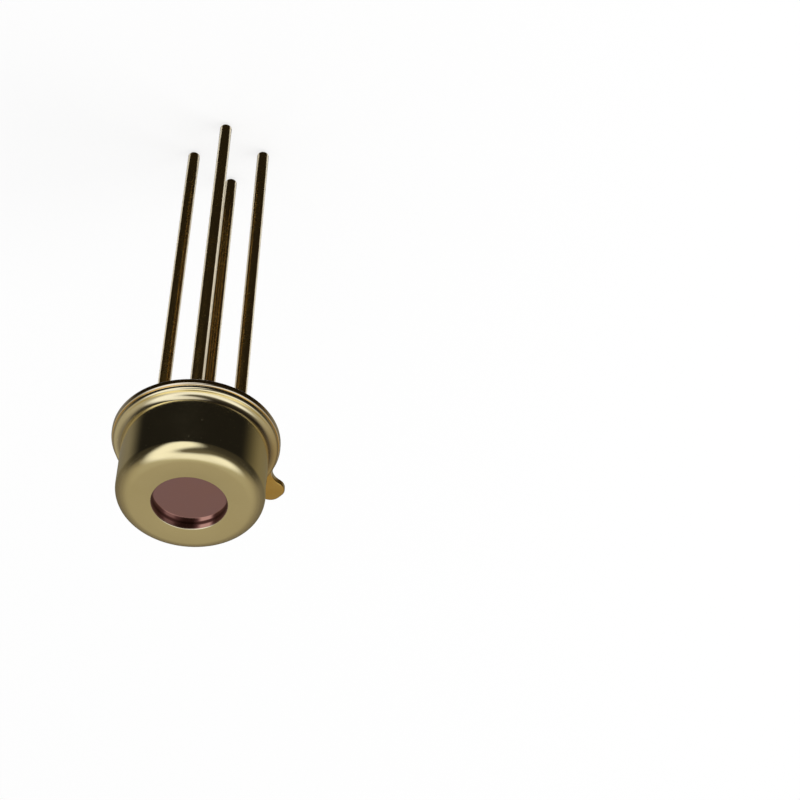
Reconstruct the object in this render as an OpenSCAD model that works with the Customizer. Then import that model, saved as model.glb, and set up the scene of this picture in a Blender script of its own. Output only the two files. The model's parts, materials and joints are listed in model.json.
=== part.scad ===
// Thermopile infrared sensor in a four-lead metal can.
// Origin: centre of the header's underside. +Z is the optical axis, with the window up and
// the leads down. +X points along the index tab.

/* [Header] */
// Radius of the header flange
header_r = 2.7; // [2.66:0.02:3.2]
// Thickness of the header flange
flange_t = 0.25; // [0.2:0.01:0.35]
// Height of the platform above the underside
platform_h = 1.1; // [0.8:0.05:1.25]
// Gap between the platform and the inside of the cap
platform_gap = 0.08; // [0.04:0.01:0.2]
// Radius of the flange's lower edge
flange_edge_low = 0.09; // [0.03:0.01:0.1]
// Radius of the flange's upper edge
flange_edge_top = 0.05; // [0.02:0.01:0.08]
// Radius of the platform's upper edge
platform_edge = 0.08; // [0.03:0.01:0.12]

/* [Index tab] */
// Distance from the centre to the tab's tip
tab_reach = 3.6; // [3.5:0.02:3.9]
// Width of the tab
tab_w = 0.92; // [0.8:0.02:1.2]
// Radius of the tab's outer corners
tab_corner_r = 0.38; // [0.1:0.02:0.4]
// Radius of the blends where the tab leaves the flange
tab_root_r = 0.6; // [0.1:0.02:0.7]

/* [Leads] */
// Lead diameter
lead_d = 0.42; // [0.4:0.01:0.5]
// Diameter of the circle that the leads stand on
lead_circle_d = 2.54; // [2.5:0.02:2.6]
// Lead length below the underside
lead_length = 14.4; // [8:0.1:20]
// Lead height above the platform
lead_post_h = 0.3; // [0.2:0.02:0.4]
// Thickness of the plating on the bare lead, which stops at the glass
plating_t = 0.005; // [0.003:0.001:0.01]
// Chamfer at the lead ends
lead_chamfer = 0.05; // [0.02:0.01:0.08]

/* [Glass seals] */
// Diameter of the glass seal round a lead
bead_d = 1.1; // [0.9:0.02:1.12]
// Depth of the dished glass surface at each end
meniscus = 0.05; // [0.03:0.01:0.1]

/* [Ground lead weld] */
// Radius of the weld fillet at the underside
weld_r = 0.4; // [0.34:0.01:0.42]
// Height of the weld fillet below the underside
weld_h = 0.32; // [0.2:0.02:0.5]
// Depth of the dimple that locates the ground lead
dimple_depth = 0.06; // [0.03:0.01:0.1]

/* [Cap] */
// Outer radius of the cap's wall
cap_r = 2.35; // [2.3:0.01:2.4]
// Height from the underside to the cap's face
cap_face_z = 2.84; // [2.7:0.02:4]
// Sheet thickness of the cap
sheet_t = 0.25; // [0.2:0.01:0.28]
// Outer radius of the rounded front edge
cap_edge_r = 0.48; // [0.35:0.01:0.5]
// Outer radius of the cap's welded flange
cap_flange_r = 2.64; // [2.6:0.01:2.65]
// Thickness of the cap's flange, which the weld press coins thinner than the sheet
cap_flange_t = 0.16; // [0.12:0.01:0.25]
// Radius of the blend from the wall to the cap's flange
cap_root_r = 0.21; // [0.1:0.01:0.24]
// Radius of the cap flange's rounded rim
cap_rim_r = 0.07; // [0.03:0.01:0.1]
// Radius of the bend inside the cap's foot
cap_foot_r = 0.18; // [0.1:0.01:0.25]
// Diameter of the aperture
aperture_d = 2.39; // [2:0.01:2.42]
// Radius of the aperture's rim
aperture_edge = 0.03; // [0.02:0.01:0.06]

/* [Filter] */
// Side of the square filter chip
filter_w = 2.56; // [2.5:0.01:2.58]
// Thickness of the filter chip
filter_t = 0.5; // [0.3:0.05:0.5]
// Height of the adhesive round the filter
filter_bond_h = 0.3; // [0.15:0.01:0.35]
// Width of the adhesive beyond the filter's corners, at the cap's inner face
filter_bond_rim = 0.04; // [0.03:0.005:0.05]
// Width of the adhesive beyond the filter's sides, at its lower edge
filter_bond_low_rim = 0.17; // [0.1:0.01:0.2]
// Least flat metal between the adhesive and the cap's inner rounding
filter_seat_margin = 0.015; // [0.005:0.005:0.02]

/* [Thermopile chip] */
// Side of the silicon chip
die_w = 0.96; // [0.94:0.01:0.98]
// Thickness of the silicon chip
die_t = 0.26; // [0.2:0.01:0.28]
// Side of the free membrane over the cavity
membrane_w = 0.46; // [0.42:0.01:0.48]
// Thickness of the membrane layer
membrane_t = 0.02; // [0.02:0.005:0.03]
// Side of the black absorber
absorber_w = 0.24; // [0.2:0.01:0.28]
// Thickness of the absorber
absorber_t = 0.03; // [0.025:0.005:0.04]
// Thermocouples on each side of the absorber
couples_per_side = 6; // [3:1:7]
// Thickness of the thermocouple legs
leg_t = 0.015; // [0.01:0.005:0.02]
// Width of one thermocouple leg
leg_w = 0.01; // [0.006:0.001:0.012]
// Width of the metal track round the chip's rim
track_w = 0.02; // [0.01:0.005:0.025]
// Overlap of the legs on the solid rim of the chip
leg_cold_reach = 0.05; // [0.03:0.01:0.06]
// Side of a bond pad
pad_w = 0.12; // [0.1:0.01:0.13]
// Distance from a bond pad to the chip's edge
pad_inset = 0.04; // [0.03:0.01:0.05]
// Thickness of the chip adhesive
die_attach_t = 0.03; // [0.02:0.005:0.05]
// Width of the chip adhesive that shows round the chip
die_attach_rim = 0.01; // [0.005:0.005:0.02]

/* [Thermistor] */
// Side of the thermistor chip
thermistor_w = 0.42; // [0.36:0.02:0.46]
// Thickness of the thermistor's ceramic
thermistor_t = 0.24; // [0.2:0.01:0.3]
// Thickness of its metal faces
electrode_t = 0.015; // [0.01:0.005:0.02]
// Distance from the optical axis to the thermistor
thermistor_place_r = 1.42; // [1.4:0.01:1.46]
// Width of the thermistor adhesive that shows round it
thermistor_attach_rim = 0.04; // [0.02:0.01:0.05]

/* [Bond wires] */
// Diameter of the gold wire
wire_d = 0.03; // [0.025:0.005:0.04]
// Diameter of the ball at the wire's first end
ball_d = 0.08; // [0.07:0.005:0.1]
// Height of the ball
ball_h = 0.025; // [0.02:0.005:0.03]
// Height of the wire's loop
loop_h = 0.2; // [0.12:0.01:0.3]
// Share of the run over which the wire comes down flat on the lead
landing_share = 0.4; // [0.2:0.05:0.6]
// Length of the flat stitch on the lead
stitch_l = 0.08; // [0.04:0.01:0.12]

/* [Hidden] */
$fn = 64;
arc_steps = 12; // straight steps in each quarter round of a section
wire_sides = 8;
wire_steps = 20;

lead_r = lead_d / 2;
lead_circle_r = lead_circle_d / 2;
bead_r = bead_d / 2;
seal_r = lead_r - plating_t;
lead_pitch_angle = 90;
first_lead_angle = lead_pitch_angle / 2;
etch_angle = 54.74; // between the silicon crystal's etched planes and its surface
ground_lead_angle = first_lead_angle + 3 * lead_pitch_angle;
post_top_z = platform_h + lead_post_h;

cap_inner_r = cap_r - sheet_t;
platform_r = cap_inner_r - platform_gap;
cap_foot_z = flange_t;
cap_flange_top_z = cap_foot_z + cap_flange_t;
cap_inner_top_z = cap_face_z - sheet_t;
cap_root_curve_r = min(cap_root_r, cap_flange_r - cap_r - cap_rim_r); // limited by the flange's width
aperture_r = aperture_d / 2;

filter_top_z = cap_inner_top_z;
filter_z = filter_top_z - filter_t;
filter_bond_r = filter_w / sqrt(2) + filter_bond_rim;
filter_bond_low_r = filter_w / 2 + filter_bond_low_rim;
cap_inner_flat_r = filter_bond_r + filter_seat_margin; // flat metal that the adhesive needs
cap_inner_edge_r = min(cap_edge_r - sheet_t, cap_inner_r - cap_inner_flat_r);

die_z = platform_h + die_attach_t;
die_top_z = die_z + die_t;
membrane_top_z = die_top_z + membrane_t;
cavity_low_w = membrane_w + 2 * die_t / tan(etch_angle);
leg_hot_gap = leg_w;
leg_pitch = (absorber_w - leg_w) / (2 * couples_per_side - 1);
leg_hot_x = absorber_w / 2 + leg_hot_gap;
leg_cold_x = membrane_w / 2 + leg_cold_reach;
last_leg = 2 * couples_per_side - 1;
open_corner = 1; // quarter turns from the tab's side to the corner with the first pad
pad_place = die_w / 2 - pad_inset - pad_w / 2;
track_edge = die_w / 2 - (pad_inset - track_w) / 2;
pad_top_z = membrane_top_z + leg_t;

thermistor_z = platform_h + die_attach_t;
thermistor_top_z = thermistor_z + 2 * electrode_t + thermistor_t;
thermistor_xy = thermistor_place_r * [cos(ground_lead_angle), sin(ground_lead_angle)];

gold = [0.86, 0.65, 0.27];
nickel = [0.68, 0.64, 0.5];
glass_brown = [0.2, 0.13, 0.08];
mauve = [0.47, 0.32, 0.31];
silicon_grey = [0.35, 0.36, 0.4];
epoxy_silver = [0.62, 0.62, 0.6];

// Points of an arc about [x, z], from angle a0 to angle a1, for a section that is turned round Z
function arc(x, z, r, a0, a1, steps = arc_steps) =
    [for (i = [0 : steps]) let (a = a0 + (a1 - a0) * i / steps) [x + r * cos(a), z + r * sin(a)]];

function lead_angle(i) = first_lead_angle + (i - 1) * lead_pitch_angle;
function lead_xy(i) = lead_circle_r * [cos(lead_angle(i)), sin(lead_angle(i))];

// Puts its children on the axis of lead i
module at_lead(i) {
    rotate([0, 0, lead_angle(i)]) translate([lead_circle_r, 0, 0]) children();
}

// Outline of the index tab, with round outer corners and blended roots
module tab_outline() {
    half = tab_w / 2;
    straight_x = tab_reach - tab_corner_r;
    side_fit = (pow(straight_x, 2) + pow(half, 2) - pow(header_r, 2)) / (2 * (header_r - half));
    root_r = max(0.02, min(tab_root_r, side_fit)); // limited by the tab's straight side
    blend_y = half + root_r;
    blend_x = sqrt(pow(header_r + root_r, 2) - pow(blend_y, 2));
    leave = header_r / (header_r + root_r) * [blend_x, blend_y];
    difference() {
        union() {
            translate([platform_r, -half]) square([straight_x - platform_r, tab_w]);
            translate([platform_r, tab_corner_r - half])
                square([tab_reach - platform_r, tab_w - 2 * tab_corner_r]);
            for (side = [-1, 1])
                translate([straight_x, side * (half - tab_corner_r)]) circle(tab_corner_r);
            polygon([[platform_r, -leave[1]], [leave[0], -leave[1]], [blend_x, -half],
                [blend_x, half], leave, [platform_r, leave[1]]]);
        }
        for (side = [-1, 1]) translate([blend_x, side * blend_y]) circle(root_r);
    }
}

// Section of the header: a flange with rounded edges and a platform that fits inside the cap
function header_section() = concat(
    [[0, 0]],
    arc(header_r - flange_edge_low, flange_edge_low, flange_edge_low, -90, 0),
    arc(header_r - flange_edge_top, flange_t - flange_edge_top, flange_edge_top, 0, 90),
    [[platform_r, flange_t]],
    arc(platform_r - platform_edge, platform_h - platform_edge, platform_edge, 0, 90),
    [[0, platform_h]]);

module header() {
    color(gold) difference() {
        union() {
            rotate_extrude() polygon(header_section());
            linear_extrude(flange_t) tab_outline();
        }
        for (i = [1 : 3]) at_lead(i) translate([0, 0, -1]) cylinder(h = platform_h + 2, r = bead_r);
        rotate([0, 0, ground_lead_angle]) translate([lead_circle_r, 0, -1])
            cylinder(h = 1 + dimple_depth, r = weld_r);
    }
}

// Glass between the header's hole and the lead, dished at both ends
module glass_bead(i) {
    sag_r = (bead_r - seal_r) / 2;
    middle_r = (bead_r + seal_r) / 2;
    dish = [for (k = [0 : arc_steps]) let (u = 1 - 2 * k / arc_steps)
        [middle_r + u * sag_r, meniscus * (1 - u * u)]];
    low = [for (p = dish) [p[0], p[1]]];
    high = [for (k = [0 : arc_steps]) let (p = dish[arc_steps - k]) [p[0], platform_h - p[1]]];
    color(glass_brown) at_lead(i) rotate_extrude() polygon(concat(low, high));
}

// A lead that passes through its glass: bare and plated outside, slimmer inside the glass
module lead(i) {
    color(gold) at_lead(i) rotate_extrude() polygon([
        [lead_r, -lead_length + lead_chamfer], [lead_r, 0], [seal_r, 0], [seal_r, platform_h],
        [lead_r, platform_h], [lead_r, post_top_z - lead_chamfer],
        [lead_r - lead_chamfer, post_top_z], [0, post_top_z], [0, -lead_length],
        [lead_r - lead_chamfer, -lead_length]]);
}

// The fourth lead ends in the dimple of the underside
module ground_lead() {
    color(gold) rotate([0, 0, ground_lead_angle]) translate([lead_circle_r, 0, 0])
        rotate_extrude() polygon([
            [lead_r, -lead_length + lead_chamfer], [lead_r, dimple_depth], [0, dimple_depth],
            [0, -lead_length], [lead_r - lead_chamfer, -lead_length]]);
}

// Concave fillet of weld metal, an ellipse quarter in section, that fills the dimple
module ground_lead_weld() {
    reach = weld_r - lead_r;
    flare = [for (k = [0 : arc_steps]) let (a = 90 * k / arc_steps)
        [weld_r - reach * sin(a), -weld_h * (1 - cos(a))]];
    color(gold) rotate([0, 0, ground_lead_angle]) translate([lead_circle_r, 0, 0])
        rotate_extrude() polygon(concat([[lead_r, dimple_depth], [weld_r, dimple_depth]], flare));
}

// Section of the drawn cap, from the aperture's rim round the outside and back along the inside
function cap_section() = concat(
    arc(aperture_r + aperture_edge, cap_face_z - aperture_edge, aperture_edge, 180, 90),
    arc(cap_r - cap_edge_r, cap_face_z - cap_edge_r, cap_edge_r, 90, 0, 2 * arc_steps),
    arc(cap_r + cap_root_curve_r, cap_flange_top_z + cap_root_curve_r, cap_root_curve_r, 180, 270),
    arc(cap_flange_r - cap_rim_r, cap_flange_top_z - cap_rim_r, cap_rim_r, 90, 0),
    [[cap_flange_r, cap_foot_z]],
    arc(cap_inner_r + cap_foot_r, cap_foot_z + cap_foot_r, cap_foot_r, 270, 180),
    arc(cap_inner_r - cap_inner_edge_r, cap_inner_top_z - cap_inner_edge_r, cap_inner_edge_r, 0, 90),
    [[aperture_r, cap_inner_top_z]]);

module cap() {
    color(nickel) rotate_extrude() polygon(cap_section());
}

module filter_chip() {
    translate([-filter_w / 2, -filter_w / 2, filter_z]) cube([filter_w, filter_w, filter_t]);
}

module filter() {
    color(mauve) filter_chip();
}

// Adhesive round the filter, on the inner face of the cap
module filter_bond() {
    color(epoxy_silver) difference() {
        rotate_extrude() polygon([[0, filter_top_z - filter_bond_h],
            [filter_bond_low_r, filter_top_z - filter_bond_h], [filter_bond_r, filter_top_z],
            [0, filter_top_z]]);
        filter_chip();
        translate([0, 0, filter_z]) cylinder(h = 2 * filter_t, r = aperture_r);
    }
}

// Silicon chip with a cavity etched from below along the crystal planes
module die_frame() {
    half_low = cavity_low_w / 2;
    half_top = membrane_w / 2;
    color(silicon_grey) difference() {
        translate([-die_w / 2, -die_w / 2, die_z]) cube([die_w, die_w, die_t]);
        polyhedron(
            points = [for (level = [[half_low, die_z], [half_top, die_top_z]])
                for (c = [[-1, -1], [1, -1], [1, 1], [-1, 1]])
                    [c[0] * level[0], c[1] * level[0], level[1]]],
            faces = [[0, 1, 2, 3], [7, 6, 5, 4], [1, 0, 4, 5], [2, 1, 5, 6], [3, 2, 6, 7], [0, 3, 7, 4]]);
    }
}

module membrane() {
    color("lightsteelblue") translate([-die_w / 2, -die_w / 2, die_top_z])
        cube([die_w, die_w, membrane_t]);
}

// Side of leg n of a side that faces the tab, counted from its first leg
function leg_y(n) = n * leg_pitch - absorber_w / 2;

// Flat strip of the leg layer, between two corners
module strip(low, high) {
    translate([low[0], low[1], membrane_top_z]) cube([high[0] - low[0], high[1] - low[1], leg_t]);
}

// On each side of the absorber, straight strips from the hot junctions to the cold ones
module polysilicon_legs() {
    color("dimgray") for (turn = [0 : 3]) rotate([0, 0, 90 * turn])
        for (k = [0 : couples_per_side - 1])
            strip([leg_hot_x + leg_w, leg_y(2 * k)], [leg_cold_x - leg_w, leg_y(2 * k) + leg_w]);
}

// Strips between the others, joined to them at the hot ends and to the next at the cold ends
module aluminium_side() {
    for (k = [0 : couples_per_side - 1]) {
        strip([leg_hot_x, leg_y(2 * k + 1)], [leg_cold_x, leg_y(2 * k + 1) + leg_w]);
        strip([leg_hot_x, leg_y(2 * k)], [leg_hot_x + leg_w, leg_y(2 * k + 1) + leg_w]);
    }
    for (k = [0 : couples_per_side - 2])
        strip([leg_cold_x - leg_w, leg_y(2 * k + 1)], [leg_cold_x, leg_y(2 * k + 2) + leg_w]);
}

// Link round the corner of the membrane, from the last leg of a side to the first of the next
module corner_link() {
    strip([leg_cold_x - leg_w, leg_y(last_leg)], [leg_cold_x, leg_cold_x]);
    strip([-leg_y(0) - leg_w, leg_cold_x - leg_w], [leg_cold_x, leg_cold_x]);
}

// Track from the first leg of the next side to the pad at this corner
module near_pad_track() {
    strip([-leg_y(0) - leg_w, leg_cold_x - leg_w], [pad_place + leg_w / 2, leg_cold_x]);
    strip([pad_place - leg_w / 2, leg_cold_x - leg_w], [pad_place + leg_w / 2, pad_place - pad_w / 2]);
}

// Track from the last leg of a side, outside this corner's pad, to the pad at the next corner
module far_pad_track() {
    strip([leg_cold_x, leg_y(last_leg)], [track_edge, leg_y(last_leg) + leg_w]);
    strip([track_edge - track_w, leg_y(last_leg)], [track_edge, track_edge]);
    strip([-pad_place - track_w / 2, track_edge - track_w], [track_edge, track_edge]);
    strip([-pad_place - track_w / 2, pad_place + pad_w / 2], [-pad_place + track_w / 2, track_edge]);
}

// All the couples in series: three corners are linked, and the fourth opens to the two pads
module aluminium_legs() {
    color("gainsboro") for (turn = [0 : 3]) rotate([0, 0, 90 * turn]) union() {
        aluminium_side();
        if (turn == open_corner) {
            near_pad_track();
            far_pad_track();
        } else corner_link();
    }
}

module absorber() {
    color("black") translate([-absorber_w / 2, -absorber_w / 2, membrane_top_z])
        cube([absorber_w, absorber_w, absorber_t]);
}

module bond_pads() {
    color("gainsboro") for (turn = [open_corner, open_corner + 1]) rotate([0, 0, 90 * turn])
        translate([pad_place - pad_w / 2, pad_place - pad_w / 2, membrane_top_z])
            cube([pad_w, pad_w, leg_t]);
}

module die_attach() {
    w = die_w + 2 * die_attach_rim;
    color(epoxy_silver) translate([-w / 2, -w / 2, platform_h]) cube([w, w, die_attach_t]);
}

// Puts its children at the thermistor's place on the platform
module at_thermistor() {
    translate([thermistor_xy[0], thermistor_xy[1], 0]) children();
}

module thermistor() {
    color("darkslategray") at_thermistor()
        translate([-thermistor_w / 2, -thermistor_w / 2, thermistor_z + electrode_t])
            cube([thermistor_w, thermistor_w, thermistor_t]);
}

module thermistor_electrodes() {
    color(gold) at_thermistor() for (z = [thermistor_z, thermistor_top_z - electrode_t])
        translate([-thermistor_w / 2, -thermistor_w / 2, z]) cube([thermistor_w, thermistor_w, electrode_t]);
}

module thermistor_attach() {
    w = thermistor_w + 2 * thermistor_attach_rim;
    color(epoxy_silver) at_thermistor() translate([-w / 2, -w / 2, platform_h])
        cube([w, w, die_attach_t]);
}

// Point u of the wire's loop: a cubic curve that leaves the ball at a upwards and reaches b flat
function loop_point(a, b, u) =
    let (p = a + [0, 0, 2 * loop_h],
        q = b - landing_share * [b[0] - a[0], b[1] - a[1], 0])
    pow(1 - u, 3) * a + 3 * pow(1 - u, 2) * u * p + 3 * (1 - u) * u * u * q + pow(u, 3) * b;

// Gold wire in a vertical plane: a ball on its pad, a loop, and a flat stitch on the lead
module bond_wire(from, to) {
    start = [from[0], from[1], from[2] + ball_h / 2];
    end = [to[0], to[1], to[2] + wire_d / 2 * cos(180 / wire_sides)];
    run = [to[0] - from[0], to[1] - from[1], 0] / norm([to[0] - from[0], to[1] - from[1]]);
    side = cross([0, 0, 1], run);
    path = concat([for (k = [0 : wire_steps - 2]) loop_point(start, end, k / (wire_steps - 1))],
        [end, end + stitch_l * run]);
    rings = [for (k = [0 : wire_steps]) let (
        ahead = k >= wire_steps - 1 ? run : path[k + 1] - path[max(k - 1, 0)],
        up = cross(ahead / norm(ahead), side))
        [for (j = [0 : wire_sides - 1]) let (a = 360 * (j + 0.5) / wire_sides)
            path[k] + wire_d / 2 * (cos(a) * side + sin(a) * up)]];
    color(gold) union() {
        translate(from) cylinder(h = ball_h, r = ball_d / 2);
        polyhedron(
            points = [for (ring = rings) for (p = ring) p],
            faces = concat(
                [[for (j = [0 : wire_sides - 1]) j]],
                [for (k = [0 : wire_steps - 1]) for (j = [0 : wire_sides - 1]) let (
                    a = k * wire_sides + j,
                    b = k * wire_sides + (j + 1) % wire_sides)
                    [a, a + wire_sides, b + wire_sides, b]],
                [[for (j = [wire_sides - 1 : -1 : 0]) wire_steps * wire_sides + j]]));
    }
}

header();
glass_bead(1);  // glass_bead_1
glass_bead(2);  // glass_bead_2
glass_bead(3);  // glass_bead_3
lead(1);  // lead_1
lead(2);  // lead_2
lead(3);  // lead_3
ground_lead();
ground_lead_weld();
cap();
filter();
filter_bond();
die_frame();
membrane();
polysilicon_legs();
aluminium_legs();
absorber();
bond_pads();
die_attach();
thermistor();
thermistor_electrodes();
thermistor_attach();
bond_wire([thermistor_xy[0], thermistor_xy[1], thermistor_top_z],  // bond_wire_1
        [lead_xy(1)[0], lead_xy(1)[1], post_top_z]);
bond_wire([-pad_place, pad_place, pad_top_z], [lead_xy(2)[0], lead_xy(2)[1], post_top_z]);  // bond_wire_2
bond_wire([-pad_place, -pad_place, pad_top_z], [lead_xy(3)[0], lead_xy(3)[1], post_top_z]);  // bond_wire_3
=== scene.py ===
import json
import math

import bmesh
import bpy
from mathutils import Matrix, Vector


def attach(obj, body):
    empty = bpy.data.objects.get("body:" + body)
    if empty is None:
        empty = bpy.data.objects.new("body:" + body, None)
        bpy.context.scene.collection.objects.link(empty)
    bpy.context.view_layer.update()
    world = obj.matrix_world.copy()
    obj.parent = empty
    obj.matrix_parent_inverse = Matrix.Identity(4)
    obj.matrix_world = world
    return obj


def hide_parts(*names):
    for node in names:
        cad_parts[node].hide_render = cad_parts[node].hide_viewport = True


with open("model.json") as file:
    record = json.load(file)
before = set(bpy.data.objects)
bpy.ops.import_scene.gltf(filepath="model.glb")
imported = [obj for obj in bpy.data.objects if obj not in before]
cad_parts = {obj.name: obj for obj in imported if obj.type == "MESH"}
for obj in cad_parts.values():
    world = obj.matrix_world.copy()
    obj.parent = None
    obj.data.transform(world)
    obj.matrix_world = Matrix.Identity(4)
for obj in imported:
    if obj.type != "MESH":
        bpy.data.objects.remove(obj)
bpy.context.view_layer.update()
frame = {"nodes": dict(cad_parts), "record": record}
nodes = frame["nodes"]
mm = 0.001
print("frame loaded:", len(nodes), "nodes")


# camera

photoCamera = {
    "place": (-28.934, 40.378, 47.151),  # mm
    "right": (0.71974, 0.69409, -0.01452),
    "up": (-0.49733, 0.50089, -0.70836),
    "lens": 95.77,
    "sensor": 36.0,
    "clip": (0.001, 10.0),  # m; the camera is only 68 mm away from the can
}


def makeCamera(values):
    data = bpy.data.cameras.new("photoCamera")
    data.sensor_width = values["sensor"]
    data.lens = values["lens"]
    data.clip_start, data.clip_end = values["clip"]
    right, up = Vector(values["right"]), Vector(values["up"])
    turn = Matrix((right, up, right.cross(up))).transposed()
    camera = bpy.data.objects.new("photoCamera", data)
    camera.matrix_world = Matrix.Translation(Vector(values["place"]) * mm) @ turn.to_4x4()
    bpy.context.scene.collection.objects.link(camera)
    bpy.context.scene.camera = camera


makeCamera(photoCamera)
print("camera made")


# node helpers

def connect(tree, made, inputs):  # links a socket, or sets a constant on the input itself
    for key, value in inputs.items():
        if isinstance(value, bpy.types.NodeSocket):
            tree.links.new(value, made.inputs[key])
        else:
            made.inputs[key].default_value = value


def add(tree, kind, inputs=None, **settings):
    made = tree.nodes.new("ShaderNode" + kind)
    for key, value in settings.items():
        setattr(made, key, value)
    connect(tree, made, inputs or {})
    return made


def calc(tree, operation, a, b=0.0):
    return add(tree, "Math", {0: a, 1: b}, operation=operation).outputs[0]


def times(tree, a, b):
    return calc(tree, "MULTIPLY", a, b)


def plus(tree, a, b):
    return calc(tree, "ADD", a, b)


def minus(tree, a, b):
    return calc(tree, "SUBTRACT", a, b)


def dot(tree, a, b):
    return add(tree, "VectorMath", {0: a, 1: b}, operation="DOT_PRODUCT").outputs["Value"]


def remap(tree, value, fromLow, fromHigh, toLow=0.0, toHigh=1.0, smooth=False):
    return add(tree, "MapRange", {0: value, 1: fromLow, 2: fromHigh, 3: toLow, 4: toHigh},
               interpolation_type="SMOOTHSTEP" if smooth else "LINEAR").outputs[0]


def blendColour(tree, factor, a, b):  # each colour is a socket or three numbers
    a, b = [(*colour, 1.0) if isinstance(colour, tuple) else colour for colour in (a, b)]
    return add(tree, "Mix", {0: factor, 6: a, 7: b}, data_type="RGBA").outputs[2]


def ramp(tree, value, stops):
    made = add(tree, "ValToRGB", {0: value})
    band = made.color_ramp
    while len(band.elements) < len(stops):
        band.elements.new(0.5)
    for element, (place, colour) in zip(band.elements, stops):
        element.position = place
        element.color = (*colour, 1.0)
    return made.outputs[0]


def newGroup(name, inputs, outputs):
    tree = bpy.data.node_groups.new(name, "ShaderNodeTree")
    for label, value in inputs:
        socket = tree.interface.new_socket(label, in_out="INPUT", socket_type="NodeSocketFloat")
        socket.default_value = value
    for label in outputs:
        tree.interface.new_socket(label, in_out="OUTPUT", socket_type="NodeSocketFloat")
    return tree, tree.nodes.new("NodeGroupInput"), tree.nodes.new("NodeGroupOutput")


def millimetres(tree):  # place on the object, in mm
    place = add(tree, "TexCoord").outputs["Object"]
    return add(tree, "VectorMath", {0: place, "Scale": 1 / mm}, operation="SCALE").outputs[0]


def objectPlace(tree):  # x, y, z and the distance from the axis, in mm
    x, y, z = add(tree, "SeparateXYZ", {0: millimetres(tree)}).outputs
    squares = plus(tree, times(tree, x, x), times(tree, y, y))
    return x, y, z, calc(tree, "SQRT", squares)


# shared effects

def makeUnevenness():  # slow and fine variation of a surface, in features per mm
    tree, given, out = newGroup("unevenness", [("Broad Scale", 1.0), ("Fine Scale", 20.0)], ["Broad", "Fine"])
    place = millimetres(tree)
    for label, detail in (("Broad", 3.0), ("Fine", 5.0)):
        noise = add(tree, "TexNoise", {"Vector": place, "Scale": given.outputs[label + " Scale"],
                                       "Detail": detail, "Roughness": 0.55})
        tree.links.new(noise.outputs[0], out.inputs[label])
    return tree


def makeDrawLines():  # fine lines left by the tools, along the axis on a wall and round it on a face
    tree, given, out = newGroup("drawLines", [("Lines", 60.0), ("Rings", 12.0)], ["Along", "Round"])
    x, y, z, radius = objectPlace(tree)
    angle = calc(tree, "ARCTAN2", y, x)
    lines, rings = given.outputs["Lines"], given.outputs["Rings"]
    along = add(tree, "CombineXYZ", {0: times(tree, angle, lines), 1: times(tree, z, 1.4),
                                     2: times(tree, radius, 0.8)})
    around = add(tree, "CombineXYZ", {0: times(tree, radius, rings), 2: times(tree, z, rings),
                                      1: times(tree, calc(tree, "SINE", angle), 0.9)})
    for label, vector in (("Along", along), ("Round", around)):
        noise = add(tree, "TexNoise", {"Vector": vector.outputs[0], "Scale": 1.0, "Detail": 4.0,
                                       "Roughness": 0.6})
        tree.links.new(noise.outputs[0], out.inputs[label])
    return tree


def makeEdgeWear():  # mask of the corners that rub, broken up by noise
    tree, given, out = newGroup("edgeWear", [("Start", 0.52), ("Full", 0.6), ("Break Up", 6.0)], ["Mask"])
    sharp = add(tree, "NewGeometry").outputs["Pointiness"]
    noise = add(tree, "TexNoise", {"Vector": millimetres(tree), "Scale": given.outputs["Break Up"],
                                   "Detail": 4.0})
    edge = remap(tree, sharp, given.outputs["Start"], given.outputs["Full"], smooth=True)
    broken = times(tree, edge, remap(tree, noise.outputs[0], 0.35, 0.65))
    tree.links.new(broken, out.inputs["Mask"])
    return tree


def makeTilt():  # mask of rounded corners, where the surface is neither flat nor upright
    tree, given, out = newGroup("tilt", [("Upright", 0.12), ("Flat", 0.99)], ["Mask"])
    turn = add(tree, "VectorTransform", {0: add(tree, "NewGeometry").outputs["Normal"]}, vector_type="NORMAL",
               convert_from="WORLD", convert_to="OBJECT").outputs[0]
    up = calc(tree, "ABSOLUTE", add(tree, "SeparateXYZ", {0: turn}).outputs["Z"])
    leaning = calc(tree, "GREATER_THAN", up, given.outputs["Upright"])
    corner = times(tree, leaning, calc(tree, "LESS_THAN", up, given.outputs["Flat"]))
    tree.links.new(corner, out.inputs["Mask"])
    return tree


def makeDust():  # mask of sparse specks
    tree, given, out = newGroup("dust", [("Specks", 9.0), ("Size", 0.1), ("Share", 0.3)], ["Mask"])
    place = millimetres(tree)
    cells = add(tree, "TexVoronoi", {"Vector": place, "Scale": given.outputs["Specks"]})
    speck = remap(tree, cells.outputs["Distance"], given.outputs["Size"],
                  times(tree, given.outputs["Size"], 0.4), smooth=True)
    picked = calc(tree, "LESS_THAN", add(tree, "SeparateColor", {0: cells.outputs["Color"]}).outputs[0],
                  given.outputs["Share"])
    tree.links.new(times(tree, speck, picked), out.inputs["Mask"])
    return tree


def makeScratches():  # mask of a few hairline scratches in changing directions
    tree, given, out = newGroup("scratches", [("Scale", 2.0), ("Width", 0.02)], ["Mask"])
    place = millimetres(tree)
    bend = add(tree, "TexNoise", {"Vector": place, "Scale": 0.7, "Detail": 1.0})
    spot = add(tree, "VectorMath", {0: place, 1: bend.outputs["Color"]}, operation="ADD")
    cells = add(tree, "TexVoronoi", {"Vector": spot.outputs[0], "Scale": given.outputs["Scale"]},
                feature="DISTANCE_TO_EDGE")
    line = remap(tree, cells.outputs["Distance"], 0.0, given.outputs["Width"], 1.0, 0.0)
    parts = add(tree, "TexNoise", {"Vector": place, "Scale": 2.3, "Detail": 2.0})
    broken = times(tree, line, remap(tree, parts.outputs[0], 0.56, 0.64))
    tree.links.new(broken, out.inputs["Mask"])
    return tree


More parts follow.
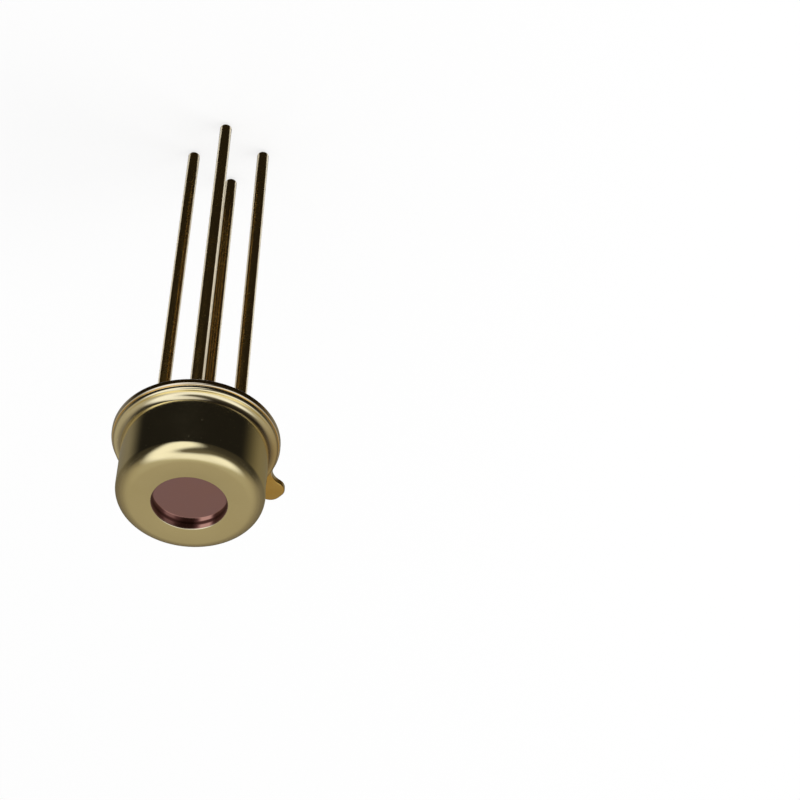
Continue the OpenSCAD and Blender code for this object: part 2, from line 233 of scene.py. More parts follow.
unevenness = makeUnevenness()
drawLines = makeDrawLines()
edgeWear = makeEdgeWear()
tilt = makeTilt()
dust = makeDust()
scratches = makeScratches()
print("shared effects made")


# finishes

noiseSpan = (0.3, 0.7)  # most values of a noise lie between these


def newTree(name):
    made = bpy.data.materials.new(name)
    made.use_nodes = True
    return made, made.node_tree


def newMaterial(name):
    made, tree = newTree(name)
    return made, tree, tree.nodes["Principled BSDF"]


def use(tree, group, **values):
    made = add(tree, "Group", node_tree=group)
    for label, value in values.items():
        made.inputs[label.replace("_", " ")].default_value = value
    return made.outputs


def bump(tree, height, strength, distance):  # distance in mm
    return add(tree, "Bump", {"Height": height, "Strength": strength, "Distance": distance * mm}).outputs[0]


def mottle(tree, uneven, start, full, values):  # the two shades of a finish
    share = remap(tree, uneven["Broad"], start, full)
    return blendColour(tree, share, values["colour"], values["otherColour"])


sheetFinish = {
    "colour": (0.93, 0.82, 0.50), "otherColour": (0.90, 0.79, 0.47), "dustColour": (0.42, 0.36, 0.25),
    "roughness": (0.09, 0.14), "lines": 180.0, "rings": 9.0,
    "relief": 0.0009, "reliefShares": {"along": 0.35, "round": 0.12, "fine": 0.4, "scratch": 0.5},
    "dustShare": 0.5, "dustRough": 0.3, "recessShadeRough": 0.02, "lineRough": (-0.015, 0.03), "wornRough": 0.03,
    # radii and heights in mm; patches round the axis: angle, outer and inner half width, and share
    "punchedWithin": 1.215, "punchedColour": (0.93, 0.84, 0.62),
    # painted shade: the recess wall darkens with depth, except in patches round the axis where reflections
    # show
    "recessShadeFrom": (2.83, 2.77), "recessShadeColour": (0.24, 0.16, 0.125),
    "shadeGaps": ((-25, 15, 6, 1.0), (-83, 13, 5, 0.28)), "shadeGapsFrom": (2.64, 2.69),
    "flangeFrom": (0.64, 0.5), "flangeColour": (0.93, 0.84, 0.58),
    "heated": (20, 65, 15, 0.85), "heatedColour": (0.65, 0.48, 0.22),  # weld tint near the tab
    "rootShade": (62, 95, 45, 0.85), "rootShadeColour": (0.30, 0.24, 0.17),  # painted shade on a stretch of the wall's root
    "rootShadeFrom": ((0.68, 0.62), (0.46, 0.53)),
}


def nearAngle(tree, angle, centre, outer, inner, share):
    off = calc(tree, "ABSOLUTE", minus(tree, angle, centre))
    return remap(tree, off, outer, inner, 0.0, share, smooth=True)


def makeSheetMetal(values):
    made, tree, shader = newMaterial("nickelSheet")
    uneven = use(tree, unevenness, Broad_Scale=0.9, Fine_Scale=38.0)
    lines = use(tree, drawLines, Lines=values["lines"], Rings=values["rings"])
    worn = use(tree, edgeWear, Start=0.53, Full=0.62, Break_Up=5.0)
    specks = use(tree, dust, Specks=7.0, Size=0.09, Share=0.16)
    lined = use(tree, scratches, Scale=1.6, Width=0.012)
    colour = mottle(tree, uneven, 0.35, 0.7, values)
    colour = blendColour(tree, times(tree, specks["Mask"], values["dustShare"]), colour, values["dustColour"])
    x, y, z, radius = objectPlace(tree)
    recess = calc(tree, "LESS_THAN", radius, values["punchedWithin"])
    colour = blendColour(tree, recess, colour, values["punchedColour"])
    punched = times(tree, recess, remap(tree, z, *values["recessShadeFrom"]))  # painted shade, darker deeper down the recess
    reached = remap(tree, z, *values["shadeGapsFrom"], smooth=True)
    angle = calc(tree, "DEGREES", calc(tree, "ARCTAN2", y, x))
    # the painted shade is lifted in patches round the axis, where reflections show
    for place in values["shadeGaps"]:
        lifted = times(tree, reached, nearAngle(tree, angle, *place))
        punched = times(tree, punched, minus(tree, 1.0, lifted))
    colour = blendColour(tree, punched, colour, values["recessShadeColour"])
    flange = remap(tree, z, *values["flangeFrom"])
    colour = blendColour(tree, flange, colour, values["flangeColour"])
    heated = times(tree, flange, nearAngle(tree, angle, *values["heated"]))
    colour = blendColour(tree, heated, colour, values["heatedColour"])
    # painted shade along a stretch of the wall's root
    above, below = values["rootShadeFrom"]
    root = times(tree, remap(tree, z, *above), remap(tree, z, *below))
    rootShade = times(tree, root, nearAngle(tree, angle, *values["rootShade"]))
    colour = blendColour(tree, rootShade, colour, values["rootShadeColour"])
    rough = remap(tree, uneven["Broad"], *noiseSpan, *values["roughness"])
    rough = plus(tree, rough, times(tree, punched, values["recessShadeRough"]))
    rough = plus(tree, rough, remap(tree, lines["Along"], *noiseSpan, *values["lineRough"]))
    rough = minus(tree, rough, times(tree, worn["Mask"], values["wornRough"]))
    rough = plus(tree, rough, times(tree, specks["Mask"], values["dustRough"]))
    shares = values["reliefShares"]
    height = times(tree, lines["Along"], shares["along"])
    height = plus(tree, height, times(tree, lines["Round"], shares["round"]))
    height = plus(tree, height, times(tree, uneven["Fine"], shares["fine"]))
    height = minus(tree, height, times(tree, lined["Mask"], shares["scratch"]))
    connect(tree, shader, {"Base Color": colour, "Metallic": 1.0, "Roughness": rough,
                           "Normal": bump(tree, height, 1.0, values["relief"])})
    return made


platingFinish = {
    "colour": (0.82, 0.54, 0.17), "otherColour": (0.76, 0.47, 0.12),
    "roughness": (0.10, 0.16), "dustRough": 0.25,
    "relief": 0.0006, "reliefShares": {"fine": 0.6, "scratch": 0.5},
    # radii and heights in mm; the corners are worn pale and carry a painted pale highlight, but not the tab's
    "wornAndHighlightColour": (0.92, 0.84, 0.70), "wornAndHighlightWithin": (2.85, 2.72), "wornAndHighlightShare": 0.9,
    # painted sheen: metal pales where it is seen at a shallow angle: 0 is seen straight on and 1 edge on
    "grazeFrom": (0.46, 0.7), "grazeColour": (0.95, 0.92, 0.86),
    # the leads' plating is dull, with a painted pale sheen along their edges
    "wireFrom": (-0.2, -0.6), "wireRough": 0.13, "wireRelief": 0.35, "wireGraze": (0.95, 0.80, 0.50),
    "edgeSheenFrom": (0.54, 0.68), "edgeSheenTo": (0.88, 0.78), "edgeSheenColour": (0.965, 0.88, 0.69),
}


def makeGoldPlating(values):
    made, tree, shader = newMaterial("goldPlating")
    uneven = use(tree, unevenness, Broad_Scale=1.3, Fine_Scale=45.0)
    corners = use(tree, tilt)
    specks = use(tree, dust, Specks=8.0, Size=0.08, Share=0.14)
    lined = use(tree, scratches, Scale=2.4, Width=0.014)
    colour = mottle(tree, uneven, 0.35, 0.68, values)
    z, radius = objectPlace(tree)[2:]
    # rounded corners of the rim: worn plating and a painted pale highlight
    worn = times(tree, corners["Mask"], remap(tree, radius, *values["wornAndHighlightWithin"], 0.0, values["wornAndHighlightShare"]))
    colour = blendColour(tree, worn, colour, values["wornAndHighlightColour"])
    wire = remap(tree, z, *values["wireFrom"], smooth=True)
    # painted sheen: paler colour where the surface is seen at a shallow angle
    facing = add(tree, "LayerWeight", {"Blend": 0.5}).outputs["Facing"]
    pale = blendColour(tree, wire, values["grazeColour"], values["wireGraze"])
    colour = blendColour(tree, remap(tree, facing, *values["grazeFrom"], smooth=True), colour, pale)
    # painted pale sheen on the leads in a band of viewing angles, less metallic there
    edgeSheen = times(tree, remap(tree, facing, *values["edgeSheenFrom"]), remap(tree, facing, *values["edgeSheenTo"]))
    edgeSheen = times(tree, edgeSheen, wire)
    colour = blendColour(tree, edgeSheen, colour, values["edgeSheenColour"])
    rough = remap(tree, uneven["Broad"], *noiseSpan, *values["roughness"])
    rough = plus(tree, rough, times(tree, wire, values["wireRough"]))
    rough = plus(tree, rough, times(tree, specks["Mask"], values["dustRough"]))
    shares = values["reliefShares"]
    height = times(tree, uneven["Fine"], shares["fine"])
    height = minus(tree, height, times(tree, lined["Mask"], shares["scratch"]))
    height = times(tree, height, remap(tree, wire, 0.0, 1.0, 1.0, values["wireRelief"]))
    connect(tree, shader, {"Base Color": colour, "Metallic": minus(tree, 1.0, edgeSheen), "Roughness": rough,
                           "Normal": bump(tree, height, 1.0, values["relief"])})
    return made


filterFinish = {
    "colour": (0.48, 0.275, 0.30), "otherColour": (0.465, 0.275, 0.32), "roughness": (0.03, 0.07),
    "dustColour": (0.5, 0.42, 0.4), "dustShare": 0.4, "dustRough": 0.3,
    "rimShadeFrom": (1.1, 1.19), "rimShadeColour": (0.22, 0.12, 0.12),  # painted shade round the aperture, radii in mm
}


def makeCoatedSilicon(values):
    made, tree, shader = newMaterial("coatedSilicon")
    uneven = use(tree, unevenness, Broad_Scale=0.7, Fine_Scale=30.0)
    specks = use(tree, dust, Specks=6.0, Size=0.05, Share=0.12)
    colour = mottle(tree, uneven, 0.35, 0.65, values)
    colour = blendColour(tree, times(tree, specks["Mask"], values["dustShare"]), colour, values["dustColour"])
    # painted shade on the filter towards the aperture's edge
    rim = remap(tree, objectPlace(tree)[3], *values["rimShadeFrom"], smooth=True)
    colour = blendColour(tree, rim, colour, values["rimShadeColour"])
    rough = remap(tree, uneven["Broad"], *noiseSpan, *values["roughness"])
    rough = plus(tree, rough, times(tree, specks["Mask"], values["dustRough"]))
    connect(tree, shader, {"Base Color": colour, "Metallic": 1.0, "Roughness": rough})
    return made


glassFinish = {
    "colour": (0.035, 0.018, 0.010), "otherColour": (0.10, 0.055, 0.03), "roughness": (0.05, 0.14),
    "bend": 1.52, "relief": 0.004,
}


def makeSealGlass(values):
    made, tree, shader = newMaterial("sealGlass")
    uneven = use(tree, unevenness, Broad_Scale=3.0, Fine_Scale=24.0)
    bubbles = use(tree, dust, Specks=16.0, Size=0.22, Share=0.25)
    height = minus(tree, times(tree, uneven["Broad"], 0.5), bubbles["Mask"])
    connect(tree, shader, {"Base Color": mottle(tree, uneven, 0.4, 0.7, values), "IOR": values["bend"],
                           "Roughness": remap(tree, uneven["Fine"], *noiseSpan, *values["roughness"]),
                           "Normal": bump(tree, height, 0.5, values["relief"])})
    return made


def makePaste(name, colour, flakeColour, flakes, metallic):  # a cured adhesive with filler in it
    made, tree, shader = newMaterial(name)
    uneven = use(tree, unevenness, Broad_Scale=4.0, Fine_Scale=40.0)
    filler = use(tree, dust, Specks=flakes, Size=0.35, Share=0.6)
    mixed = blendColour(tree, filler["Mask"], colour, flakeColour)
    connect(tree, shader, {
        "Base Color": mixed, "Metallic": times(tree, filler["Mask"], metallic),
        "Roughness": remap(tree, uneven["Fine"], *noiseSpan, 0.35, 0.6),
        "Normal": bump(tree, plus(tree, uneven["Broad"], filler["Mask"]), 0.7, 0.004)})
    return made


def makeFilm(name, colour, otherColour, metallic, roughness, grain):  # a thin layer on the chip
    made, tree, shader = newMaterial(name)
    uneven = use(tree, unevenness, Broad_Scale=3.5, Fine_Scale=grain)
    mixed = blendColour(tree, remap(tree, uneven["Broad"], 0.35, 0.65), colour, otherColour)
    connect(tree, shader, {
        "Base Color": mixed, "Metallic": metallic,
        "Roughness": remap(tree, uneven["Fine"], *noiseSpan, roughness * 0.7, roughness * 1.3),
        "Normal": bump(tree, uneven["Fine"], 0.4, 0.0006)})
    return made


def makeSoot():  # porous black layer of the absorber
    made, tree, shader = newMaterial("absorberBlack")
    uneven = use(tree, unevenness, Broad_Scale=12.0, Fine_Scale=90.0)
    mixed = blendColour(tree, uneven["Broad"], (0.006, 0.006, 0.006), (0.022, 0.021, 0.02))
    connect(tree, shader, {
        "Base Color": mixed, "Roughness": remap(tree, uneven["Fine"], *noiseSpan, 0.85, 1.0),
        "Normal": bump(tree, uneven["Fine"], 1.0, 0.004)})
    return made


def makeCeramic():  # sintered oxide with open pores
    made, tree, shader = newMaterial("thermistorCeramic")
    uneven = use(tree, unevenness, Broad_Scale=6.0, Fine_Scale=60.0)
    pores = use(tree, dust, Specks=40.0, Size=0.3, Share=0.4)
    mixed = blendColour(tree, uneven["Broad"], (0.045, 0.046, 0.05), (0.10, 0.10, 0.11))
    connect(tree, shader, {
        "Base Color": mixed, "Roughness": remap(tree, uneven["Fine"], *noiseSpan, 0.5, 0.75),
        "Normal": bump(tree, minus(tree, uneven["Fine"], pores["Mask"]), 0.6, 0.004)})
    return made


finishes = {
    "nickel_cap": makeSheetMetal(sheetFinish),
    "gold_plated_kovar": makeGoldPlating(platingFinish),
    "coated_silicon_filter": makeCoatedSilicon(filterFinish),
    "seal_glass": makeSealGlass(glassFinish),
    "filter_epoxy": makePaste("blackEpoxy", (0.02, 0.02, 0.022), (0.07, 0.07, 0.075), 45.0, 0.0),
    "silver_epoxy": makePaste("silverEpoxy", (0.45, 0.45, 0.43), (0.75, 0.75, 0.73), 60.0, 0.9),
    "silicon": makeFilm("silicon", (0.20, 0.21, 0.24), (0.25, 0.26, 0.29), 0.6, 0.12, 30.0),
    "membrane_film": makeFilm("membraneFilm", (0.16, 0.34, 0.30), (0.30, 0.30, 0.46), 0.3, 0.1, 25.0),
    "polysilicon": makeFilm("polysilicon", (0.16, 0.17, 0.19), (0.22, 0.22, 0.25), 0.4, 0.35, 120.0),
    "aluminium_film": makeFilm("aluminiumFilm", (0.86, 0.87, 0.88), (0.80, 0.81, 0.83), 1.0, 0.22, 90.0),
    "absorber_black": makeSoot(),
    "thermistor_ceramic": makeCeramic(),
}
for subpart in frame["record"]["subparts"]:
    piece = nodes[subpart["node"]]
    piece.data.materials.clear()
    piece.data.materials.append(finishes[subpart["material_slot"]])
print("finishes made:", len(finishes))


# mesh helpers

def arcPoints(x, z, radius, start, end, steps):
    angles = [math.radians(start + (end - start) * i / steps) for i in range(steps + 1)]
    return [(x + radius * math.cos(a), z + radius * math.sin(a)) for a in angles]


def circle(mesh, centre, radius, z, angles):
    x, y = centre
    return [mesh.verts.new((x + radius * math.cos(a), y + radius * math.sin(a), z)) for a in angles]


def evenAngles(count):  # a full turn
    return [2 * math.pi * i / count for i in range(count)]


def quarterAngles(steps):  # a quarter turn with both its ends
    return [math.radians(90 * i / steps) for i in range(steps + 1)]


def bridge(mesh, low, high):
    count = max(len(low), len(high))
    for i in range(count):
        j = (i + 1) % count
        if len(low) == 1:
            mesh.faces.new((low[0], high[j], high[i]))
        elif len(high) == 1:
            mesh.faces.new((low[i], low[j], high[0]))
        else:
            mesh.faces.new((low[i], low[j], high[j], high[i]))


def fillFlat(mesh, loops):  # fills the first loop and leaves the others open
    edges = []
    for loop in loops:
        for a, b in zip(loop, loop[1:] + loop[:1]):
            edges.append(mesh.edges.get((a, b)) or mesh.edges.new((a, b)))
    bmesh.ops.triangle_fill(mesh, use_beauty=True, edges=edges, normal=(0, 0, 1))


def finishPiece(mesh, name, replaced, sharpAngle=32):
    slotName = next(s["material_slot"] for s in frame["record"]["subparts"] if s["node"] == replaced)
    bmesh.ops.recalc_face_normals(mesh, faces=mesh.faces)
    for face in mesh.faces:
        face.smooth = True
    for edge in mesh.edges:
        edge.smooth = len(edge.link_faces) == 2 and edge.calc_face_angle() < math.radians(sharpAngle)
    bmesh.ops.scale(mesh, vec=(mm, mm, mm), verts=mesh.verts)
    data = bpy.data.meshes.new(name)
    mesh.to_mesh(data)
    mesh.free()
    data.materials.append(finishes[slotName])
    piece = bpy.data.objects.new(name, data)
    bpy.context.scene.collection.objects.link(piece)
    weighted = piece.modifiers.new("weighted normals", "WEIGHTED_NORMAL")
    weighted.keep_sharp = True
    weighted.weight = 80
    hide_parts(replaced)
    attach(piece, "root")


def turnedPiece(name, replaced, section, segments, centre=(0, 0)):  # a closed section turned round the axis
    mesh = bmesh.new()
    angles = evenAngles(segments)
    rings = [circle(mesh, centre, r, z, angles) if r > 0 else [mesh.verts.new((*centre, z))]
             for r, z in section]
    for low, high in zip(rings, rings[1:] + rings[:1]):
        if len(low) + len(high) > 2:
            bridge(mesh, low, high)
    finishPiece(mesh, name, replaced)


def leadPlace(number):  # lead 1 stands 45 degrees from the tab, and the others follow anticlockwise
    angle = math.radians(45 + 90 * (number - 1))
    return leadSizes["circle"] * math.cos(angle), leadSizes["circle"] * math.sin(angle)


# header

headerSizes = {
    "flangeRadius": 2.7, "flangeThick": 0.25, "lowEdge": 0.09, "topEdge": 0.05,
    "platformRadius": 2.02, "platformHeight": 1.1, "platformEdge": 0.08,
    "tabReach": 3.6, "tabWidth": 0.92, "tabCorner": 0.38, "tabRoot": 0.6,
    "sealRadius": 0.55, "dimpleRadius": 0.4, "dimpleDepth": 0.06,
    "rimSteps": 240, "cornerSteps": 12, "edgeSteps": 8, "holeSteps": 72,
}
leadSizes = {
    "circle": 1.27, "radius": 0.21, "sealed": 0.205, "length": 14.4, "post": 1.4,
    "tip": 0.05, "tipSteps": 6, "shaftSteps": 12, "segments": 64,
}


def headerOutline(sizes, inset):
    blendY = sizes["tabWidth"] / 2 + sizes["tabRoot"]
    blendX = math.sqrt((sizes["flangeRadius"] + sizes["tabRoot"]) ** 2 - blendY ** 2)
    leave = math.degrees(math.atan2(blendY, blendX))
    root, corner = sizes["tabRoot"] + inset, sizes["tabCorner"] - inset
    cornerX = sizes["tabReach"] - sizes["tabCorner"]
    cornerY = sizes["tabWidth"] / 2 - sizes["tabCorner"]
    steps = sizes["cornerSteps"]
    points = arcPoints(0, 0, sizes["flangeRadius"] - inset, leave, 360 - leave, sizes["rimSteps"])
    points += arcPoints(blendX, -blendY, root, 180 - leave, 90, steps)[1:]
    points += arcPoints(cornerX, -cornerY, corner, -90, 0, steps)
    points += arcPoints(cornerX, cornerY, corner, 0, 90, steps)
    points += arcPoints(blendX, blendY, root, -90, leave - 180, steps)[:-1]
    return points


def makeHeader(sizes):
    mesh = bmesh.new()
    thick, lowEdge, topEdge = sizes["flangeThick"], sizes["lowEdge"], sizes["topEdge"]
    turns = quarterAngles(sizes["edgeSteps"])
    levels = [(lowEdge * (1 - math.cos(a)), lowEdge * (1 - math.sin(a))) for a in turns]
    levels += [(thick - topEdge * (1 - math.cos(a)), topEdge * (1 - math.sin(a))) for a in reversed(turns)]
    rings = [[mesh.verts.new((x, y, z)) for x, y in headerOutline(sizes, inset)] for z, inset in levels]
    angles = [math.atan2(y, x) for x, y in headerOutline(sizes, 0)]
    platform, height, edge = sizes["platformRadius"], sizes["platformHeight"], sizes["platformEdge"]
    section = [(platform, thick)] + arcPoints(platform - edge, height - edge, edge, 0, 90, sizes["edgeSteps"])
    rings += [circle(mesh, (0, 0), r, z, angles) for r, z in section]
    for low, high in zip(rings, rings[1:]):
        bridge(mesh, low, high)
    lowHoles, topHoles = [], []
    around = evenAngles(sizes["holeSteps"])
    for number in (1, 2, 3):
        lowHoles.append(circle(mesh, leadPlace(number), sizes["sealRadius"], 0, around))
        topHoles.append(circle(mesh, leadPlace(number), sizes["sealRadius"], height, around))
        bridge(mesh, lowHoles[-1], topHoles[-1])
    lowHoles.append(circle(mesh, leadPlace(4), sizes["dimpleRadius"], 0, around))
    dimple = circle(mesh, leadPlace(4), sizes["dimpleRadius"], sizes["dimpleDepth"], around)
    bridge(mesh, lowHoles[-1], dimple)
    mesh.faces.new(dimple)
    fillFlat(mesh, [rings[0]] + lowHoles)
    fillFlat(mesh, [rings[-1]] + topHoles)
    finishPiece(mesh, "headerMetal", "header")


makeHeader(headerSizes)
print("header made")


# leads, glass seals and the weld

sealSizes = {"dish": 0.05, "steps": 16, "segments": 72}
weldSizes = {"radius": 0.4, "height": 0.32, "steps": 16, "segments": 72}


def makeLead(name, replaced, number, sizes, topSection):
    radius, tip, low, parts = sizes["radius"], sizes["tip"], -sizes["length"], sizes["shaftSteps"]
    end = [(0, low)] + arcPoints(radius - tip, low + tip, tip, -90, 0, sizes["tipSteps"])
    shaft = [(radius, low - low * i / parts) for i in range(1, parts)]
    turnedPiece(name, replaced, end + shaft + topSection, sizes["segments"], leadPlace(number))


def makeLeads(sizes, header, seal, weld):
    radius, sealed, post, tip = sizes["radius"], sizes["sealed"], sizes["post"], sizes["tip"]
    hole, top, depth = header["sealRadius"], header["platformHeight"], header["dimpleDepth"]
    through = [(radius, 0), (sealed, 0), (sealed, top), (radius, top)]  # the plating stops at the glass
    through += arcPoints(radius - tip, post - tip, tip, 0, 90, sizes["tipSteps"]) + [(0, post)]
    middle, half = (hole + sealed) / 2, (hole - sealed) / 2
    shares = [1 - 2 * k / seal["steps"] for k in range(seal["steps"] + 1)]  # 1 at the hole and -1 at the lead
    dish = [(middle + half * share, seal["dish"] * (1 - share ** 2)) for share in shares]
    glass = dish + [(r, top - z) for r, z in reversed(dish)]
    for number in (1, 2, 3):
        makeLead(f"leadWire_{number}", f"lead_{number}", number, sizes, through)
        turnedPiece(f"sealGlass_{number}", f"glass_bead_{number}", glass, seal["segments"], leadPlace(number))
    makeLead("groundWire", "ground_lead", 4, sizes, [(radius, 0), (radius, depth), (0, depth)])
    wide, high = weld["radius"], weld["height"]
    turns = quarterAngles(weld["steps"])
    flare = [(wide - (wide - radius) * math.sin(a), -high * (1 - math.cos(a))) for a in turns]
    section = [(radius, depth), (wide, depth)] + flare
    turnedPiece("weldFillet", "ground_lead_weld", section, weld["segments"], leadPlace(4))


makeLeads(leadSizes, headerSizes, sealSizes, weldSizes)
print("leads, seals and weld made")


# cap

capSizes = {
    "radius": 2.35, "faceHeight": 2.84, "sheet": 0.25, "frontEdge": 0.48, "flangeRadius": 2.64,
    "foot": 0.25, "flange": 0.16, "rootRadius": 0.21, "rimRadius": 0.07, "footBend": 0.18,
    "aperture": 1.195, "apertureEdge": 0.03, "segments": 256,
    "lipSteps": 8, "edgeSteps": 36, "rootSteps": 20, "rimSteps": 12, "bendSteps": 8, "innerSteps": 10,
}


def capSection(sizes):
    wall, top, foot, sheet = sizes["radius"], sizes["faceHeight"], sizes["foot"], sizes["sheet"]
    hole, lip, edge, root = sizes["aperture"], sizes["apertureEdge"], sizes["frontEdge"], sizes["rootRadius"]
    flange, rim, bend = sizes["flangeRadius"], sizes["rimRadius"], sizes["footBend"]
    flangeTop = foot + sizes["flange"]
    inner, innerTop, innerEdge = wall - sheet, top - sheet, edge - sheet
    return (arcPoints(hole + lip, top - lip, lip, 180, 90, sizes["lipSteps"])
            + arcPoints(wall - edge, top - edge, edge, 90, 0, sizes["edgeSteps"])
            + arcPoints(wall + root, flangeTop + root, root, 180, 270, sizes["rootSteps"])
            + arcPoints(flange - rim, flangeTop - rim, rim, 90, 0, sizes["rimSteps"])
            + [(flange, foot)]
            + arcPoints(inner + bend, foot + bend, bend, 270, 180, sizes["bendSteps"])
            + arcPoints(inner - innerEdge, innerTop - innerEdge, innerEdge, 0, 90, sizes["innerSteps"])
            + [(hole, innerTop)])


turnedPiece("capShell", "cap", capSection(capSizes), capSizes["segments"])
print("cap made")


# filter window

filterSizes = {"side": 2.56, "thick": 0.5, "top": 2.59, "chamfer": 0.02}


def makeFilter(sizes):
    mesh = bmesh.new()
    top, base, cut = sizes["top"], sizes["top"] - sizes["thick"], sizes["chamfer"]
    corners = ((-1, -1), (1, -1), (1, 1), (-1, 1))
    rings = []
    for z, inset in ((base, cut), (base + cut, 0), (top - cut, 0), (top, cut)):
        half = sizes["side"] / 2 - inset
        rings.append([mesh.verts.new((x * half, y * half, z)) for x, y in corners])
    for low, high in zip(rings, rings[1:]):
        bridge(mesh, low, high)
    mesh.faces.new(rings[0])
    mesh.faces.new(rings[-1])
    finishPiece(mesh, "filterWindow", "filter", sharpAngle=20)


makeFilter(filterSizes)
print("filter made")


# floor, reflecting card and light

stageSizes = {  # mm
    "floorGap": 0.12, "floorHalf": 1500.0, "cardGap": 0.06, "cardHalf": 1400.0,
    "cardFrom": 1.5,  # height on the can from which the card's directions are taken
}
softKey = {"place": (60, 50, 130), "target": (0, 0, -6), "size": 90, "power": 0.07}  # mm and watts
towardsCamera = (-0.5825, 0.8128, 0.0)  # level direction from the can to the camera

studioLight = {
    "surround": 0.88,  # plain light on everything that isn't a mirror
    "floorColour": (0.9, 0.9, 0.9),
    "floorGlow": 0.72,  # share of the floor that stays white in the shadow
    # what the metal mirrors: a warm dim room by degrees above the horizon
    "room": [(-90, (0.10, 0.09, 0.07)), (-20, (0.12, 0.105, 0.08)), (5, (0.15, 0.13, 0.10)),
             (22, (0.25, 0.22, 0.165)), (45, (0.375, 0.337, 0.25)), (65, (0.43, 0.40, 0.31)),
             (90, (0.70, 0.66, 0.54))],
    "roomTurn": (62, 112), "roomFront": 0.34,  # darker round the camera
    "lowTurn": (84, 118), "lowFront": 0.3, "lowBack": 1.3, "lowFrom": (22, 6),  # the same near the horizon
    # round soft lights: degrees to the right of the camera, above the horizon, radius, softness and level
    "softLights": [(-17, -7, 23, 12, 1.0), (-31, 7, 21, 12, 1.0), (-47, 23, 19, 12, 1.0),
                   (-58, 42, 18, 12, 1.0), (-61, 60, 17, 12, 1.0), (57, 58, 21, 12, 1.0),
                   (0, 79, 21, 12, 0.93)],
    # table under the can: dark towards the camera and paler behind, first on its left and then on its right
    "tableFront": (0.012, 0.011, 0.010), "tableFrom": (24, 34),
    "tableBack": ((0.20, 0.18, 0.14), (0.195, 0.165, 0.10)), "tableTurn": ((85, 121), (68, 118)),
    # the patch straight below, dark in front of a slanting edge
    "underFront": (0.014, 0.013, 0.014), "underBack": (0.22, 0.19, 0.155), "underFrom": (47, 51),
    "underEdge": (-1.4, -3.0),  # mm from the axis towards the camera, where dark ends and pale is full
    "underSlant": 0.2,  # shift of that edge per mm sideways
}


def radians(angles):
    return [math.radians(a) for a in angles]


def surroundings(tree, way, light):  # what a mirrored ray meets in this direction
    front = dot(tree, way, towardsCamera)
    side = dot(tree, way, (towardsCamera[1], -towardsCamera[0], 0))
    around = calc(tree, "ABSOLUTE", calc(tree, "ARCTAN2", side, front))
    up = calc(tree, "DEGREES", calc(tree, "ARCSINE", add(tree, "SeparateXYZ", {0: way}).outputs["Z"]))
    room = ramp(tree, remap(tree, up, -90, 90), [((el + 90) / 180, colour) for el, colour in light["room"]])
    turned = remap(tree, around, *radians(light["roomTurn"]), light["roomFront"], 1.0, smooth=True)
    low = remap(tree, around, *radians(light["lowTurn"]), light["lowFront"], light["lowBack"], smooth=True)
    near = remap(tree, up, *light["lowFrom"], smooth=True)
    turned = add(tree, "Mix", {0: near, 2: turned, 3: low}).outputs[0]
    level = add(tree, "VectorMath", {0: room, "Scale": turned}, operation="SCALE").outputs[0]
    for az, el, radius, soft, value in light["softLights"]:
        az, el = radians((az, el))
        flat = [math.cos(az) * towardsCamera[0] + math.sin(az) * towardsCamera[1],
                math.cos(az) * towardsCamera[1] - math.sin(az) * towardsCamera[0]]
        centre = (math.cos(el) * flat[0], math.cos(el) * flat[1], math.sin(el))
        off = calc(tree, "DEGREES", calc(tree, "ARCCOSINE", dot(tree, way, centre)))
        lit = remap(tree, off, radius + soft, radius - soft, smooth=True)
        level = blendColour(tree, lit, level, (value,) * 3)
    return level


def flatSquare(name, half, z, material):
    mesh = bmesh.new()
    bmesh.ops.create_grid(mesh, x_segments=2, y_segments=2, size=half * mm)
    data = bpy.data.meshes.new(name)
    mesh.to_mesh(data)
    mesh.free()
    data.materials.append(material)
    made = bpy.data.objects.new(name, data)
    made.location.z = z * mm
    bpy.context.scene.collection.objects.link(made)
    return made


def clearFromBelow(tree, shader):
    clear = add(tree, "BsdfTransparent")
    back = add(tree, "NewGeometry").outputs["Backfacing"]
    both = add(tree, "MixShader", {0: back, 1: shader.outputs[0], 2: clear.outputs[0]})
    add(tree, "OutputMaterial", {0: both.outputs[0]})


def makeFloor(sizes, light, low):
    made, tree = newTree("paleFloor")
    tree.nodes.clear()
    path = add(tree, "LightPath").outputs
    matte = add(tree, "BsdfDiffuse", {"Color": (*light["floorColour"], 1)})
    glow = add(tree, "Emission", {"Color": (1, 1, 1, 1), "Strength": 1.0})
    mirrored = calc(tree, "MAXIMUM", path["Is Glossy Ray"], path["Is Transmission Ray"])
    share = calc(tree, "MAXIMUM", times(tree, path["Is Camera Ray"], light["floorGlow"]), mirrored)
    clearFromBelow(tree, add(tree, "MixShader", {0: share, 1: matte.outputs[0], 2: glow.outputs[0]}))
    flatSquare("floor", sizes["floorHalf"], low - sizes["floorGap"], made)


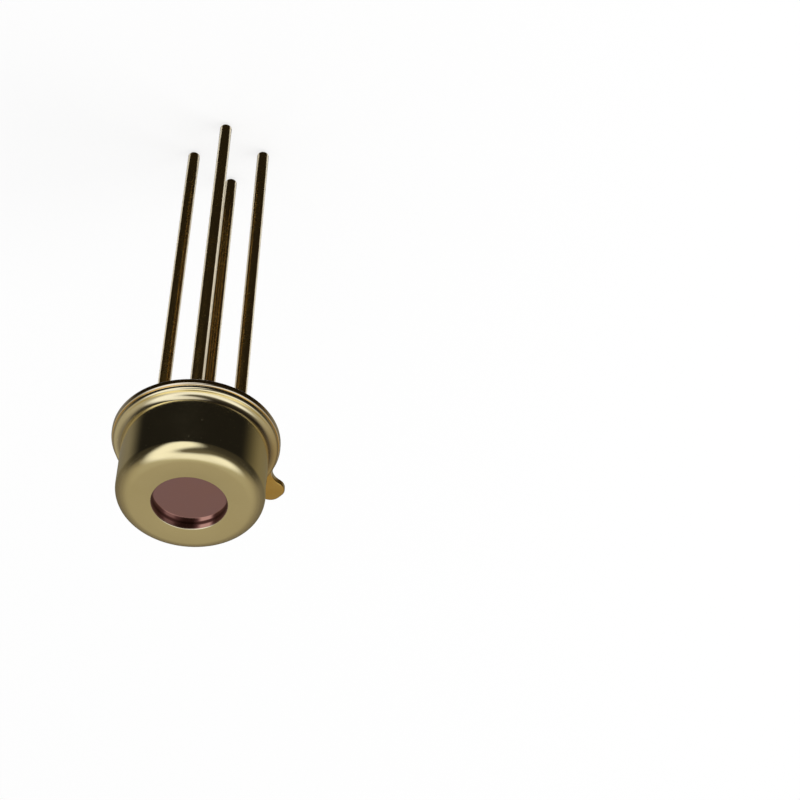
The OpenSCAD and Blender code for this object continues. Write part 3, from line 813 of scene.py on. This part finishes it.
def makeCard(sizes, light, low):  # only mirrored rays see it
    made, tree = newTree("reflectingCard")
    tree.nodes.clear()
    place = add(tree, "NewGeometry").outputs["Position"]
    away = add(tree, "VectorMath", {0: place, 1: (0, 0, sizes["cardFrom"] * mm)}, operation="SUBTRACT")
    way = add(tree, "VectorMath", {0: away.outputs[0]}, operation="NORMALIZE").outputs[0]
    x, y = add(tree, "SeparateXYZ", {0: add(tree, "TexCoord").outputs["Object"]}).outputs[:2]
    onRight = calc(tree, "LESS_THAN", y, 0.0)
    y = calc(tree, "ABSOLUTE", y)
    up = calc(tree, "ARCSINE", add(tree, "SeparateXYZ", {0: way}).outputs["Z"])
    down = times(tree, calc(tree, "DEGREES", up), -1.0)
    around = calc(tree, "ARCTAN2", y, x)
    sides = []
    for back, turn in zip(light["tableBack"], light["tableTurn"]):
        turned = remap(tree, around, *radians(turn), smooth=True)
        sides.append(blendColour(tree, turned, light["tableFront"], back))
    table = blendColour(tree, onRight, *sides)
    behind = plus(tree, x, times(tree, y, light["underSlant"]))
    behind = remap(tree, behind, *(edge * mm for edge in light["underEdge"]), smooth=True)
    under = blendColour(tree, behind, light["underFront"], light["underBack"])
    level = surroundings(tree, way, light)
    for colour, span in ((table, light["tableFrom"]), (under, light["underFrom"])):
        level = blendColour(tree, remap(tree, down, *span, smooth=True), level, colour)
    clearFromBelow(tree, add(tree, "Emission", {"Color": level, "Strength": 1.0}))
    card = flatSquare("reflectingCard", sizes["cardHalf"], low - sizes["cardGap"], made)
    card.rotation_euler.z = math.atan2(towardsCamera[1], towardsCamera[0])
    card.visible_camera = card.visible_diffuse = card.visible_shadow = False
    card.visible_transmission = card.visible_volume_scatter = False


def makeWorld(light):
    world = bpy.data.worlds.new("studio")
    world.use_nodes = True
    tree = world.node_tree
    tree.nodes.clear()
    way = add(tree, "TexCoord").outputs["Generated"]
    level = surroundings(tree, way, light)
    path = add(tree, "LightPath").outputs
    seen = blendColour(tree, path["Is Glossy Ray"], (light["surround"],) * 3, level)
    seen = blendColour(tree, path["Is Camera Ray"], seen, (1, 1, 1))
    shown = add(tree, "Background", {"Color": seen, "Strength": 1.0})
    add(tree, "OutputWorld", {0: shown.outputs[0]})
    bpy.context.scene.world = world


def makeLamp(name, values):
    data = bpy.data.lights.new(name, "AREA")
    data.shape = "DISK"
    data.size = values["size"] * mm
    data.energy = values["power"]
    place, target = Vector(values["place"]), Vector(values["target"])
    lamp = bpy.data.objects.new(name, data)
    lamp.location = place * mm
    lamp.rotation_euler = (target - place).to_track_quat("-Z", "Y").to_euler()
    lamp.visible_glossy = False
    bpy.context.scene.collection.objects.link(lamp)


floorLow = -leadSizes["length"]
makeFloor(stageSizes, studioLight, floorLow)
makeCard(stageSizes, studioLight, floorLow)
makeWorld(studioLight)
makeLamp("softKey", softKey)
bpy.context.scene.view_settings.view_transform = "Standard"
print("stage and light made")
